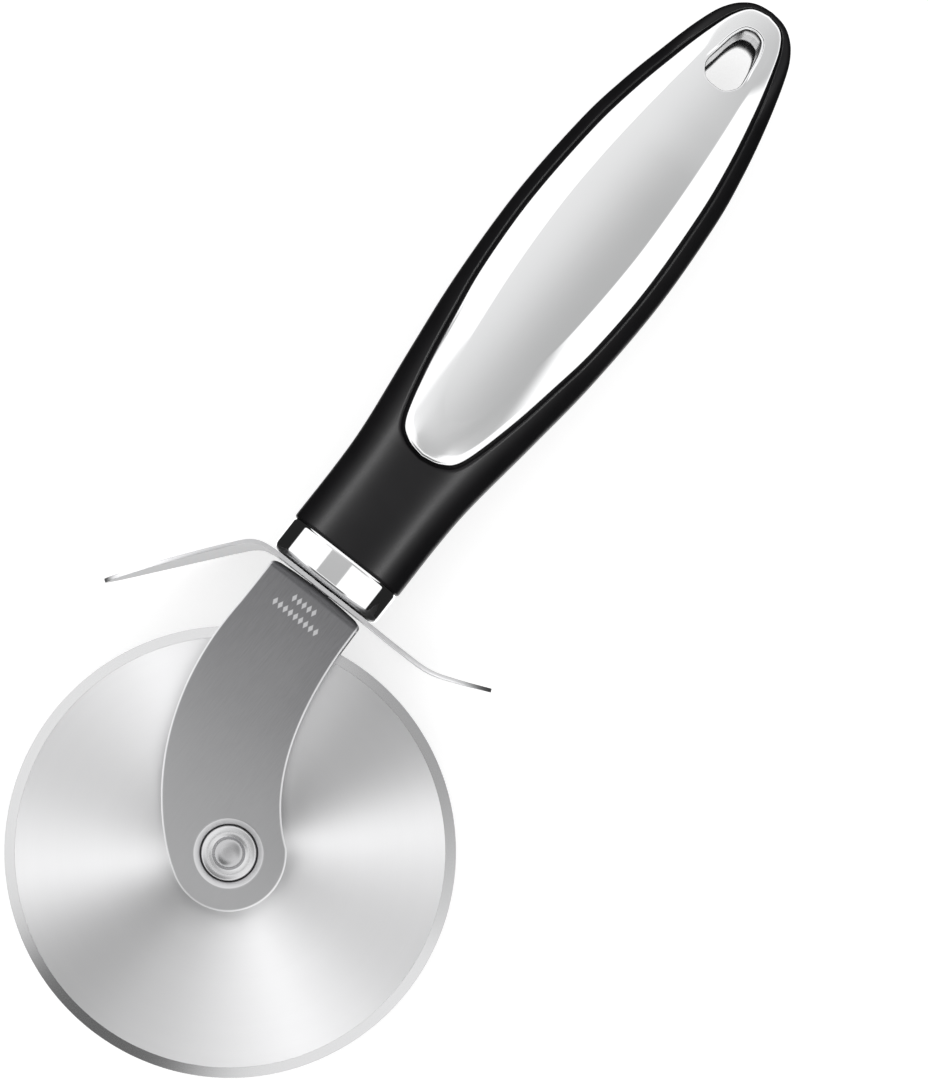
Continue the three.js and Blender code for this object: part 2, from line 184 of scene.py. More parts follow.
def skin(bm, rings, closed=True):
    """Joins each ring to the next with a band of four-sided faces."""
    for low, high in zip(rings, rings[1:]):
        count = len(low)
        for k in range(count if closed else count - 1):
            n = (k + 1) % count
            bm.faces.new((low[k], low[n], high[n], high[k]))


def loop_edges(bm, ring):
    return [bm.edges.get((a, b)) or bm.edges.new((a, b)) for a, b in zip(ring, ring[1:] + ring[:1])]


def fill(bm, *rings):
    """Fills the space inside the first ring, less any other rings, with triangles."""
    edges = [edge for ring in rings for edge in loop_edges(bm, ring)]
    made = bmesh.ops.triangle_fill(bm, use_beauty=True, use_dissolve=False, edges=edges)
    return [face for face in made["geom"] if isinstance(face, bmesh.types.BMFace)]


def finish_piece(name, bm, material, body, stands_for, weld=1e-4, outward=None):
    """Turns a mesh in millimetres from the axle into a piece of the model."""
    bmesh.ops.remove_doubles(bm, verts=bm.verts, dist=weld)
    bmesh.ops.recalc_face_normals(bm, faces=bm.faces)
    bm.faces.ensure_lookup_table()
    if outward and outward(bm):
        bmesh.ops.reverse_faces(bm, faces=bm.faces)
    bm.transform(Matrix.Translation(AXLE) @ Matrix.Scale(MM, 4))
    mesh = bpy.data.meshes.new(name)
    bm.to_mesh(mesh)
    bm.free()
    mesh.shade_smooth()
    piece = bpy.data.objects.new(name, mesh)
    bpy.context.scene.collection.objects.link(piece)
    mesh.materials.append(material)
    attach(piece, body)
    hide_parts(*stands_for)
    return piece


def even_shading(piece):
    """Keeps flat faces flat and rounds only the narrow faces between them."""
    even = piece.modifiers.new("even_shading", "WEIGHTED_NORMAL")
    even.mode = "FACE_AREA"
    even.weight = 80
    even.keep_sharp = True


def turned_mesh(profile, segments=128, along_handle=False):
    """A mesh turned about the axle from (radius, z) points, or about the handle's axis."""
    bm = bmesh.new()
    closed = profile[0][0] > 0
    rings = []
    for radius, z in profile:
        angles = [2 * math.pi * k / segments for k in range(segments)]
        flat = [(radius * math.cos(a), radius * math.sin(a)) for a in angles]
        if along_handle:
            rings.append(ring_of(bm, [(HANDLE_X + x, z, y) for x, y in flat]))
        else:
            rings.append(ring_of(bm, [(x, y, z) for x, y in flat]))
    if closed:
        rings.append(rings[0])
    skin(bm, rings)
    return bm


def turned_piece(name, profile, look, body, stands_for, segments=128, along_handle=False):
    bm = turned_mesh(profile, segments, along_handle)
    piece = finish_piece(name, bm, look, body, stands_for)
    even_shading(piece)
    return piece


# ---- shaders --------------------------------------------------------------------------------


class Value:
    """One output of a shader node. Sums on it add Math nodes."""

    def __init__(self, nodes, socket):
        self.nodes = nodes
        self.socket = socket

    def maths(self, operation, *numbers):
        return self.nodes.add("ShaderNodeMath", {"operation": operation}, numbers)

    def __add__(self, other):
        return self.maths("ADD", self, other)

    __radd__ = __add__

    def __mul__(self, other):
        return self.maths("MULTIPLY", self, other)

    __rmul__ = __mul__

    def __sub__(self, other):
        return self.maths("SUBTRACT", self, other)

    def __rsub__(self, other):
        return self.maths("SUBTRACT", other, self)

    def __truediv__(self, other):
        return self.maths("DIVIDE", self, other)

    def __rtruediv__(self, other):
        return self.maths("DIVIDE", other, self)

    def __pow__(self, other):
        return self.maths("POWER", self, other)

    def __abs__(self):
        return self.maths("ABSOLUTE", self)


class Nodes:
    """A node tree that is built by calls and by sums on its values."""

    def __init__(self, tree):
        self.tree = tree
        tree.nodes.clear()

    def add(self, kind, settings=None, inputs=(), output=0):
        """Adds a node, sets it up, and fills its sockets with numbers, colours or links."""
        node = self.tree.nodes.new(kind)
        for name, setting in (settings or {}).items():
            setattr(node, name, setting)
        pairs = inputs.items() if isinstance(inputs, dict) else enumerate(inputs)
        for key, value in pairs:
            if isinstance(value, Value):
                self.tree.links.new(value.socket, node.inputs[key])
            else:
                node.inputs[key].default_value = value
        return Value(self, node.outputs[output]) if len(node.outputs) else node

    def step(self, value, low, high):
        """0 where value is below low, 1 above high."""
        inputs = {"Value": value, "From Min": low, "From Max": high}
        return self.add("ShaderNodeMapRange", {"interpolation_type": "SMOOTHSTEP"}, inputs)

    def band(self, value, low, high):
        """1 between two soft edges, each given by where it starts and ends, and 0 beyond them."""
        return self.step(value, *low) * (1 - self.step(value, *high))

    def mix(self, factor, low, high):
        """From one colour to another."""
        settings = {"data_type": "RGBA", "clamp_factor": True}
        inputs = {0: factor, 6: self.colour(low), 7: self.colour(high)}
        return self.add("ShaderNodeMix", settings, inputs, output=2)

    @staticmethod
    def colour(value):
        if isinstance(value, (int, float)):
            return (value, value, value, 1)
        return (*value, 1) if isinstance(value, tuple) and len(value) == 3 else value

    def split(self, vector):
        return [self.add("ShaderNodeSeparateXYZ", None, [vector], output=k) for k in range(3)]

    def join(self, x, y, z):
        return self.add("ShaderNodeCombineXYZ", None, [x, y, z])

    def vector_maths(self, operation, *vectors):
        return self.add("ShaderNodeVectorMath", {"operation": operation}, vectors)

    def noise(self, vector, scale, detail=3.0, roughness=0.55):
        inputs = {"Vector": vector, "Scale": scale, "Detail": detail, "Roughness": roughness}
        return self.add("ShaderNodeTexNoise", {"noise_dimensions": "3D"}, inputs)

    def bump(self, height, strength, distance_mm):
        inputs = {"Height": height, "Strength": strength, "Distance": distance_mm * MM}
        return self.add("ShaderNodeBump", None, inputs)


class Look(Nodes):
    """A material. Its place is in millimetres from the axle."""

    def __init__(self, name):
        self.material = bpy.data.materials.new(name)
        self.material.use_nodes = True
        super().__init__(self.material.node_tree)
        metres = self.add("ShaderNodeTexCoord", output=3)
        moved = self.vector_maths("SUBTRACT", metres, tuple(AXLE))
        self.place = self.vector_maths("MULTIPLY", moved, (1 / MM,) * 3)
        self.x, self.y, self.z = self.split(self.place)

    def finish(self, **sockets):
        """Ends the material in a surface whose sockets are given by their names in lower case."""
        inputs = {name.replace("_", " ").title().replace("Ior", "IOR"): v for name, v in sockets.items()}
        surface = self.add("ShaderNodeBsdfPrincipled", None, inputs)
        self.add("ShaderNodeOutputMaterial", None, {"Surface": surface})
        return self.material


def stretched(look, along, across):
    """The place, stretched so that a noise on it turns into grain."""
    return look.join(look.x * across, look.y * along, look.z * across)


def blade_look():
    """Steel brushed in circles."""
    look = Look("blade_steel")
    radius = (look.x * look.x + look.y * look.y) ** 0.5
    rings = look.noise(look.join(radius, 0.0, 0.0), 2.6, 6.0, 0.75)
    broad = look.noise(look.join(radius, 0.0, 5.0), 0.35, 2.0)
    colour = look.mix(rings * 0.7 + broad * 0.3, (0.55, 0.55, 0.555), (0.61, 0.61, 0.615))
    return look.finish(
        base_color=colour, metallic=1.0, roughness=0.40 + rings * 0.10, anisotropic=1.0,
        anisotropic_rotation=0.25, normal=look.bump(rings, 0.12, 0.02),
    )


def ground_look():
    """The bevel, ground brighter and smoother than the sides of the blade."""
    look = Look("ground_steel")
    radius = (look.x * look.x + look.y * look.y) ** 0.5
    rings = look.noise(look.join(radius, 0.0, 3.0), 5.0, 4.0, 0.7)
    colour = look.mix(rings, (0.58, 0.58, 0.585), (0.66, 0.66, 0.665))
    return look.finish(
        base_color=colour, metallic=1.0, roughness=0.15 + rings * 0.06, normal=look.bump(rings, 0.1, 0.01),
    )


def lozenges(look, y, half_length, count):
    """A row of small etched lozenges across the front of the yoke."""
    from_middle = look.x - (HANDLE_X - 0.3)
    cell = from_middle.maths("FRACT", from_middle * (count / (2 * half_length)) + count / 2)
    shape = 1 - look.step(abs(cell - 0.5) / 0.40 + abs(look.y - y) / 0.85, 0.8, 1.1)
    within = 1 - look.step(abs(from_middle), half_length - 0.02, half_length + 0.02)
    return shape * within * look.step(look.z, 4.2, 4.4)


def satin_look():
    """Fine satin steel, with painted shade that darkens it towards the guard, a painted highlight on its
    rolled edges and dish, and a small etched pattern of lozenges.
    """
    look = Look("satin_steel")
    grain = look.noise(stretched(look, 0.35, 9.0), 1.0, 4.0, 0.7)
    cloud = look.noise(look.place, 0.08, 2.0)
    # Painted shade: the steel's colour darkens from the axle up to the guard.
    fall = look.step(look.y, -12.0, 48.0)
    steel = look.mix(fall, (0.395, 0.395, 0.40), (0.125, 0.125, 0.13))
    colour = look.mix(grain * 0.5 + cloud * 0.2, steel, look.mix(0.5, steel, (0.62, 0.62, 0.63)))
    # Painted highlight: the rim weights lighten the rolled edges, and lighten the dish's sloping side by
    # part.
    rim = look.add("ShaderNodeAttribute", {"attribute_name": "rim"}, output=2)
    colour = look.mix(look.step(rim, 0.1, 0.6), colour, (0.80, 0.80, 0.81))
    etched = lozenges(look, 42.4, 2.7, 5) + lozenges(look, 39.9, 5.05, 9)
    colour = look.mix(etched, colour, (0.60, 0.60, 0.61))
    roughness = 0.36 + grain * 0.08
    return look.finish(
        base_color=colour, metallic=1.0, roughness=roughness, normal=look.bump(grain, 0.10, 0.02),
    )


def guard_look():
    """Fine satin steel, brushed along the strip."""
    look = Look("guard_steel")
    grain = look.noise(look.join(look.x * 0.6, look.y * 0.6, look.z * 12.0), 1.0, 4.0, 0.7)
    colour = look.mix(grain, (0.50, 0.50, 0.505), (0.62, 0.62, 0.63))
    return look.finish(
        base_color=colour, metallic=1.0, roughness=0.34 + grain * 0.10,
        normal=look.bump(grain, 0.08, 0.02),
    )


def polished_look():
    """The washers and the rivet, whose head is a little darker."""
    look = Look("polished_steel")
    radius = (look.x * look.x + look.y * look.y) ** 0.5
    rings = look.noise(look.join(radius, 0.0, 2.0), 4.0, 4.0, 0.7)
    ring = look.mix(rings, (0.60, 0.60, 0.605), (0.70, 0.70, 0.71))
    head = look.mix(rings, (0.44, 0.44, 0.445), (0.52, 0.52, 0.53))
    colour = look.mix(look.step(radius, 2.72, 2.8), head, ring)
    return look.finish(
        base_color=colour, metallic=1.0, roughness=0.22 + rings * 0.08,
        normal=look.bump(rings, 0.06, 0.01),
    )


def chrome_look():
    """Mirror chrome, softer on the plates, with painted shade darkening it inside the hang hole."""
    look = Look("bright_chrome")
    cloud = look.noise(look.place, 0.05, 3.0, 0.5)
    wipe = look.noise(stretched(look, 0.2, 1.4), 1.0, 5.0, 0.65)
    plates = look.step(look.y, 60.0, 72.0)
    bore = look.add("ShaderNodeAttribute", {"attribute_name": "bore"}, output=2)
    colour = look.mix(cloud, (0.86, 0.865, 0.872), (0.90, 0.902, 0.905))
    # Painted shade: the bore of the hang hole is painted dark grey; it is also rougher there.
    colour = look.mix(bore, colour, (0.42, 0.42, 0.425))
    roughness = 0.035 + wipe * 0.035 + plates * 0.07 + bore * 0.15
    return look.finish(base_color=colour, metallic=1.0, roughness=roughness)


def grip_look():
    """Soft-touch black with the faint skin of a moulding."""
    look = Look("soft_grip")
    skin_noise = look.noise(look.place, 6.0, 5.0, 0.65)
    rubbed = look.noise(look.place, 0.09, 3.0)
    colour = look.mix(rubbed, (0.0014, 0.0014, 0.0016), (0.0040, 0.0038, 0.0041))
    roughness = 0.32 + rubbed * 0.06 + skin_noise * 0.05
    return look.finish(
        base_color=colour, metallic=0.0, roughness=roughness, specular_ior_level=0.11,
        normal=look.bump(skin_noise, 0.10, 0.02),
    )


def plain_look(name, low, high, metallic, roughness):
    """A hidden or small piece: its colour and sheen vary a little with the material's grain."""
    look = Look(name)
    grain = look.noise(look.place, 2.5, 4.0, 0.6)
    return look.finish(
        base_color=look.mix(grain, low, high), metallic=metallic,
        roughness=roughness + grain * 0.1, normal=look.bump(grain, 0.1, 0.02),
    )


BLADE = blade_look()
GROUND = ground_look()
SATIN = satin_look()
GUARD = guard_look()
POLISHED = polished_look()
CHROME = chrome_look()
GRIP = grip_look()
FASTENER = plain_look("fastener_steel", (0.42, 0.42, 0.43), (0.55, 0.55, 0.56), 1.0, 0.3)
BRASS = plain_look("insert_brass", (0.55, 0.38, 0.14), (0.64, 0.46, 0.19), 1.0, 0.3)
NYLON = plain_look("nylon", (0.76, 0.75, 0.71), (0.84, 0.83, 0.80), 0.0, 0.45)
CORE = plain_look("core_plastic", (0.022, 0.022, 0.023), (0.032, 0.032, 0.034), 0.0, 0.5)


# ---- the wheel ------------------------------------------------------------------------------

BORE = 4.0
GROUND_EDGE = 1.9
EDGE_HALF = 0.06
AXLE_RADIUS = 2.3
THRUST_RADIUS = 6.0
DISH_INNER = CHEEK_OUTER - SHEET - DISH_DEPTH


def make_wheel():
    """The blade's brushed disc, and its bevel as a ring of its own; then the bush and its washers."""
    flat = WHEEL_RADIUS - GROUND_EDGE
    for name, look, half in (
        ("blade", BLADE, [(BORE, BLADE_HALF, 0.15), (flat, BLADE_HALF, 0.02)]),
        ("ground_edge", GROUND, [(flat, BLADE_HALF, 0.05), (WHEEL_RADIUS, EDGE_HALF, 0.03)]),
    ):
        profile = rounded(half + [(r, -z, soft) for r, z, soft in reversed(half)], 0, steps=4)
        turned_piece(name, profile, look, "wheel", ["cutting_wheel"], segments=288)
    stack = DISH_INNER - 0.15
    inner, outer = AXLE_RADIUS + 0.08, BORE - 0.1
    bush = [(inner, -stack), (outer, -stack), (outer, stack), (inner, stack)]
    turned_piece("hub_bushing", rounded(bush, 0.2), NYLON, "wheel", ["wheel_bushing"])
    low, inner = BLADE_HALF + 0.05, BORE + 0.1
    for side, way in (("front", 1), ("rear", -1)):
        section = ((inner, low), (THRUST_RADIUS, low), (THRUST_RADIUS, stack), (inner, stack))
        washer = [(radius, way * z) for radius, z in section]
        turned_piece(f"{side}_thrust_disc", rounded(washer, 0.15), NYLON, "wheel",
                     [f"{side}_thrust_washer"])


# ---- the axle -------------------------------------------------------------------------------


def make_axle():
    """A polished washer in each dish, and the rivet with a low head over each."""
    floor = CHEEK_OUTER - DISH_DEPTH
    low, high = floor + 0.05, floor + 0.95
    washer = [
        (2.45, low, 0.05), (4.75, low, 0.2), (4.93, (low + high) / 2, 0.2), (4.75, high - 0.05, 0.3),
        (3.75, high + 0.12, 0.6), (2.95, high - 0.02, 0.12), (2.8, high - 0.16, 0.08),
        (2.45, high - 0.2, 0.02),
    ]
    for side, way in (("front", 1), ("rear", -1)):
        profile = [(r, way * z) for r, z in rounded(washer, 0.2)]
        turned_piece(f"{side}_rivet_collar", profile, POLISHED, "handle",
                     [f"{side}_rivet_washer"], segments=160)
    head = [(0.0, high + 0.75), (1.2, high + 0.7), (2.1, high + 0.52), (2.6, high + 0.2), (2.72, high - 0.3)]
    crown = list(Path([Vector(p) for p in head], 8).points)
    shank = [Vector((AXLE_RADIUS, high - 0.3)), Vector((AXLE_RADIUS, -(high - 0.3)))]
    profile = crown + shank + [Vector((p.x, -p.y)) for p in reversed(crown)]
    turned_piece("rivet", profile, POLISHED, "handle", ["axle_rivet"], segments=160)


# ---- the yoke -------------------------------------------------------------------------------

CHEEK_HALF = 9.65
ROLL, ROLL_DROP = 0.45, 0.10
FOLD = 2.0
FOLD_LINE = YOKE_TOP - FOLD
STRIP_CORNER = 1.2
STRIP_STEPS, FOLD_STEPS, DISH_STEPS = 28, 10, 96
NOSE = 10.2
# The dish round the axle, from its brim down to its floor and in to the rivet: radius, depth.
DISH_PROFILE = [
    (6.35, 0.0), (6.22, 0.02), (6.08, 0.09), (5.85, 0.24), (5.6, 0.42), (5.35, 0.61), (5.15, 0.82),
    (5.05, 1.15), (4.95, 1.42), (4.7, 1.5), (3.5, 1.5), (2.45, 1.5),
]


def bezier(p0, p1, p2, p3, steps):
    """Points of a curve after its first, up to its last."""
    points = []
    for k in range(1, steps + 1):
        t = k / steps
        u = 1 - t
        points.append(
            Vector(p0) * u**3 + Vector(p1) * 3 * u * u * t + Vector(p2) * 3 * u * t * t + Vector(p3) * t**3
        )
    return points


def cheek_side():
    """The free edge of a cheek, from its upper right round the nose to its upper left."""
    left, right = HANDLE_X - CHEEK_HALF, HANDLE_X + CHEEK_HALF
    start, end = math.radians(43), math.radians(-120)
    shoulder = (right + 0.1, 40)
    nose_from = (NOSE * math.cos(start), NOSE * math.sin(start))
    nose_to = (NOSE * math.cos(end), NOSE * math.sin(end))
    side = [Vector((right, FOLD_LINE)), Vector((right + 0.05, 42)), Vector(shoulder)]
    side += bezier(shoulder, (-5.6, 26), (-1.5, 13.5), nose_from, 36)
    steps = 48
    for k in range(1, steps + 1):
        a = blend(k / steps, start, end)
        side.append(Vector((NOSE * math.cos(a), NOSE * math.sin(a))))
    hip = (left - 0.05, 36)
    side += bezier(nose_to, (-13.5, -4), (-27.3, 11), hip, 48)
    side += [Vector((left, 40)), Vector((left, FOLD_LINE))]
    return side


def strip_row(y, z, lift, facing):
    """Points across the strip, which narrows round its corners and is slightly crowned."""
    start = YOKE_TOP - STRIP_CORNER
    cut = STRIP_CORNER - math.sqrt(max(STRIP_CORNER**2 - max(y - start, 0) ** 2, 0))
    half = CHEEK_HALF - cut
    inner = half - ROLL
    spread = [-half] + [inner * (2 * k / STRIP_STEPS - 1) for k in range(STRIP_STEPS + 1)] + [half]
    points = []
    for x in spread:
        drop = ROLL_DROP if abs(x) == half else 0
        dip = 0.4 * lift * (x / half) ** 2
        points.append((HANDLE_X + x, y - dip - drop * facing[0], z - drop * facing[1]))
    return points


def fold_rows(way):
    """Rows round one fold, from its cheek up to the top of the strip."""
    centre = CHEEK_OUTER - FOLD
    rows = []
    for k in range(FOLD_STEPS + 1):
        a = math.pi / 2 * k / FOLD_STEPS
        up, out = math.sin(a), math.cos(a)
        rows.append(strip_row(FOLD_LINE + FOLD * up, way * (centre + FOLD * out), up, (up, way * out)))
    return rows


def make_cheek(bm, rim, strip, way):
    """A cheek below the last row of the fold, with its rolled edge and its dish."""
    side = cheek_side()
    # The free edge is rolled down slightly by the press, in a band that catches the light; its rim weights
    # also give it a painted highlight in the satin steel.
    low = way * (CHEEK_OUTER - ROLL_DROP)
    edge = [strip[-1], *ring_of(bm, [(p.x, p.y, low) for p in side[1:-1]]), strip[0]]
    band = [strip[-2]]
    for before, here, after in zip(side, side[1:], side[2:]):
        along = (after - before).normalized()
        inside = here + Vector((along.y, -along.x)) * ROLL
        band += ring_of(bm, [(inside.x, inside.y, way * CHEEK_OUTER)])
    band.append(strip[1])
    for vert in edge:
        vert[rim] = 1
    skin(bm, [edge, band], closed=False)
    angles = [2 * math.pi * k / DISH_STEPS for k in range(DISH_STEPS)]
    dish = []
    for radius, depth in DISH_PROFILE:
        z = way * (CHEEK_OUTER - depth)
        dish.append(ring_of(bm, [(radius * math.cos(a), radius * math.sin(a), z) for a in angles]))
        # The dish's sloping side gets a weaker painted highlight from its rim weights.
        for vert in dish[-1]:
            vert[rim] = 0.42 if 0.05 < depth < 1 else 0
    fill(bm, strip[1:-1] + band[1:-1], dish[0])
    skin(bm, dish)


def make_yoke():
    """One strip folded into a U, whose two cheeks sweep sideways to the axle."""
    bm = bmesh.new()
    rim = bm.verts.layers.float.new("rim")
    top = [strip_row(YOKE_TOP, z, 1.0, (1, 0)) for z in (1.2, 0.0, -1.2)]
    strips = [ring_of(bm, points) for points in fold_rows(1) + top + fold_rows(-1)[::-1]]
    skin(bm, strips, closed=False)
    # The strip's side edges get a painted highlight from their rim weights.
    for strip in strips:
        strip[0][rim] = strip[-1][rim] = 1
    make_cheek(bm, rim, strips[0], 1)
    make_cheek(bm, rim, strips[-1], -1)

    def faces_inward(made):
        top = max(made.faces, key=lambda face: face.calc_area())
        return top.normal.z * top.calc_center_median().z < 0

    piece = finish_piece("yoke_strip", bm, SATIN, "handle", ["yoke"], outward=faces_inward)
    thick = piece.modifiers.new("sheet", "SOLIDIFY")
    thick.thickness = SHEET * MM
    thick.offset = -1
    thick.use_even_offset = True
    soften_edges(piece, 0.24, 3)
    even_shading(piece)


def soften_edges(piece, width_mm, segments):
    """Rounds the sheet's cut edges and leaves its bends alone."""
    soft = piece.modifiers.new("soft_edges", "BEVEL")
    soft.width = width_mm * MM
    soft.segments = segments
    soft.limit_method = "ANGLE"
    soft.angle_limit = math.radians(50)


# ---- the guard ------------------------------------------------------------------------------


def make_guard():
    """One thin strip bent into an S, widest where it is clamped and rounded at both ends."""
    middle = 46.65
    line = Path([Vector(p) for p in (
        (-47.2, 24), (-42.2, 30.7), (-37.1, 37.3), (-33.1, 42.3), (-30.2, 45.5), (-27.2, middle - 0.1),
        (-22, middle), (HANDLE_X, middle), (-8, middle), (2, middle - 0.1), (7.9, 46.8),
        (12.9, 48.45), (18.8, 51),
    )])
    rows, across = 150, 20
    taper_left, taper_right = 30.0, 21.0

    def half_width(share):
        reach = share * line.length
        left = min(reach / taper_left, 1)
        right = min((line.length - reach) / taper_right, 1)
        leaf = (1 - (1 - left) ** 1.9) * (1 - (1 - right) ** 1.9)
        return (REST_HALF - 0.02) * leaf**0.62

    bm = bmesh.new()
    strips = []
    for k in range(rows + 1):
        v = 2 * k / rows - 1
        share = 0.5 + 0.5 * (1.5 * v - 0.5 * v**3)
        p = line.at(share)
        half = max(half_width(share), 0.35)
        strips.append(ring_of(bm, [(p.x, p.y, half * (2 * j / across - 1)) for j in range(across + 1)]))
    skin(bm, strips, closed=False)
    piece = finish_piece("guard_strip", bm, GUARD, "handle", ["thumb_guard"])
    thick = piece.modifiers.new("sheet", "SOLIDIFY")
    thick.thickness = 0.7 * MM
    thick.offset = 0
    thick.use_even_offset = True
    soften_edges(piece, 0.14, 2)
    even_shading(piece)


# ---- the handle's lines ---------------------------------------------------------------------

SQUARENESS = 2.8
BELLY_FROM, BELLY_TO = 104, 132
GRIP_SIDE = Path([Vector(p) for p in (
    (11.55, GRIP_BASE), (11.55, 66), (12.05, 75), (13.9, 90), (15.5, 105), (16.2, 123), (15.3, 140),
    (13.85, 150), (11.6, 160), (8.85, 168.7), (6.85, 172.5), (4.6, 174.7), (2.5, 175.7),
    (0, HANDLE_TIP - 0.8),
)])
INLAY_SIDE = Path([Vector(p) for p in (
    (0, 75.3), (3.6, 76.2), (6.35, 79.15), (9.0, 88.9), (10.8, 98.8), (12.2, 108.6), (12.85, 122.4),
    (12.1, 138.1), (10.9, 148), (8.95, 158), (6.45, 167.4), (4.95, 171.4), (3.0, 173.8), (0, 174.6),
)])
LAND_SIDE = Path([Vector(p) for p in (
    (0, 82.9), (2.55, 84.9), (4.8, 90.2), (6.15, 98.5), (7.5, 110.2), (8.1, 123.8), (7.8, 135.6),
    (6.95, 147.6), (5.9, 157.9), (5.1, 164), (4.2, 168.4), (2.7, 171.5), (0, 172.7),
)])
HOLE_SIDE = Path([Vector(p) for p in (
    (0, 158.3), (1.3, 158.4), (2.45, 159), (3.65, 161.1), (3.2, 164.5), (2.7, 167.5), (1.85, 169.6),
    (0.95, 170.2), (0, 170.4),
)])
grip_top = line_through(
    (GRIP_BASE, 9.6), (68, 9.6), (80, 9.9), (92, 10.2), (BELLY_FROM, REST_HALF - INLAY_RISE),
    (BELLY_TO, REST_HALF - INLAY_RISE), (142, 9.6), (150, 8.5), (160, 6.9), (168, 5.8), (174, 5.05),
    (176.2, 4.6), (HANDLE_TIP, 4.3),
)


def land_top(y):
    """Height of the inlay's flat land, which stands a little prouder at its lower end."""
    if BELLY_FROM <= y <= BELLY_TO:
        return REST_HALF
    return min(grip_top(y) + INLAY_RISE + 0.25 * (1 - ease(y, 76, 96)), REST_HALF)


def plate_floor(y):
    """Height of an inlay's underside."""
    return 0.58 * land_top(y)


def grip_half(y):
    """Half-width of the grip at y, read off its outline."""
    points = GRIP_SIDE.points
    k = min(max(sum(p.y <= y for p in points) - 1, 0), len(points) - 2)
    a, b = points[k], points[k + 1]
    return blend((y - a.y) / (b.y - a.y), a.x, b.x) if b.y > a.y else a.x


FAN_CENTRE = 164.0
FAN = sorted(
    (math.atan2(p.y - FAN_CENTRE, p.x), (p - Vector((0, FAN_CENTRE))).length)
    for p in GRIP_SIDE.points if p.y >= FAN_CENTRE
)


def rib_of(p):
    """Where the rib through a point on the handle starts on the spine and ends at the side."""
    if p.y <= FAN_CENTRE:
        return Vector((0, p.y)), Vector((grip_half(p.y), p.y))
    spine = Vector((0, FAN_CENTRE))
    angle = math.atan2(p.y - FAN_CENTRE, p.x)
    k = min(max(sum(a <= angle for a, _ in FAN) - 1, 0), len(FAN) - 2)
    (a0, r0), (a1, r1) = FAN[k], FAN[k + 1]
    reach = blend((angle - a0) / (a1 - a0), r0, r1) if a1 > a0 else r0
    return spine, spine + Vector((math.cos(angle), math.sin(angle))) * reach


def boxiness(y):
    """How square the grip's section is: its end has a steep side and a small round."""
    return blend(ease(y, 158, 176), SQUARENESS, 9.0)


def skin_height(p, share):
    """Height of the grip's skin at a share of the way from the spine to the side."""
    power = boxiness(p.y)
    return grip_top(p.y) * max(1 - share**power, 0) ** (1 / power)


def edge_height(p):
    """Height of the grip's skin at a point seen from above."""
    spine, side = rib_of(p)
    return skin_height(p, min((p - spine).length / (side - spine).length, 1))


# Shares along an inlay's side, closer together round its end and beside the hang hole.
END_STEPS, SIDE_STEPS, TIP_STEPS = 26, 120, 64
END_SHARE, TIP_SHARE = 0.09, 0.765
SHARES = [END_SHARE * k / END_STEPS for k in range(END_STEPS)]
SHARES += [blend(k / SIDE_STEPS, END_SHARE, TIP_SHARE) for k in range(SIDE_STEPS)]
SHARES += [blend(k / TIP_STEPS, TIP_SHARE, 1) for k in range(TIP_STEPS + 1)]


def hole_share(share):
    """The share of the hang hole's side that faces a share of the inlay's side."""
    return (share - TIP_SHARE) / (1 - TIP_SHARE)


def mirrored(points, way, first=1):
    """A ring up the right side and down the left, from points at their distance from the handle's axis.

    With first=0, an open ring that starts and ends with two points of its own on the axis.
    """
    right = [Vector((HANDLE_X + p[0], p[1], way * p[2])) for p in points]
    left = [Vector((HANDLE_X - p[0], p[1], way * p[2])) for p in reversed(points[first:-1])]
    return right + left


def side_point(path, share, grow):
    p = path.out(share, grow)
    return Vector((0 if share in (0, 1) else max(p.x, 0), p.y))


# ---- the grip -------------------------------------------------------------------------------

SKIN_STEPS, NECK_STEPS = 26, 16
CROWDING = 2.5  # how much closer the skin's points are together towards its side
COLLAR_SEAT = 1.5  # from the hang hole's wall to the grip round its collars
LIP_ROUND = 0.25


def groove(y):
    """Width of the dark groove round an inlay."""
    return blend(ease(y, 158, 175), 0.6, 0.2)


def neck_arc(y, inset):
    """A quarter of the neck's section, from the middle of its face round to its side."""
    half, top = grip_half(y) - inset, grip_top(y) - inset
    points = []
    for k in range(SKIN_STEPS + 1):
        share = 1 - (1 - k / SKIN_STEPS) ** CROWDING
        height = max(1 - share**SQUARENESS, 0) ** (1 / SQUARENESS)
        points.append((share * half, y, top * height))
    return points


def make_neck(bm, way):
    """Half the neck, from inside the ferrule's brim, round a small soft end and up to the inlay."""
    window = side_point(INLAY_SIDE, 0, groove(INLAY_SIDE.points[0].y) + LIP_ROUND).y
    neck = [(GRIP_BASE + rise, inset) for rise, inset in (
        (0, 5.2), (0, 1.2), (0, 0.5), (0.08, 0.2), (0.28, 0.04), (0.6, 0.0),
    )]
    neck += [(blend(k / NECK_STEPS, GRIP_BASE + 0.6, window), 0.0) for k in range(1, NECK_STEPS + 1)]
    for turn in (1, -1):
        rows = []
        for level, inset in neck:
            arc = neck_arc(level, inset)
            rows.append(ring_of(bm, [(HANDLE_X + turn * x, y, way * z) for x, y, z in arc]))
        skin(bm, rows, closed=False)


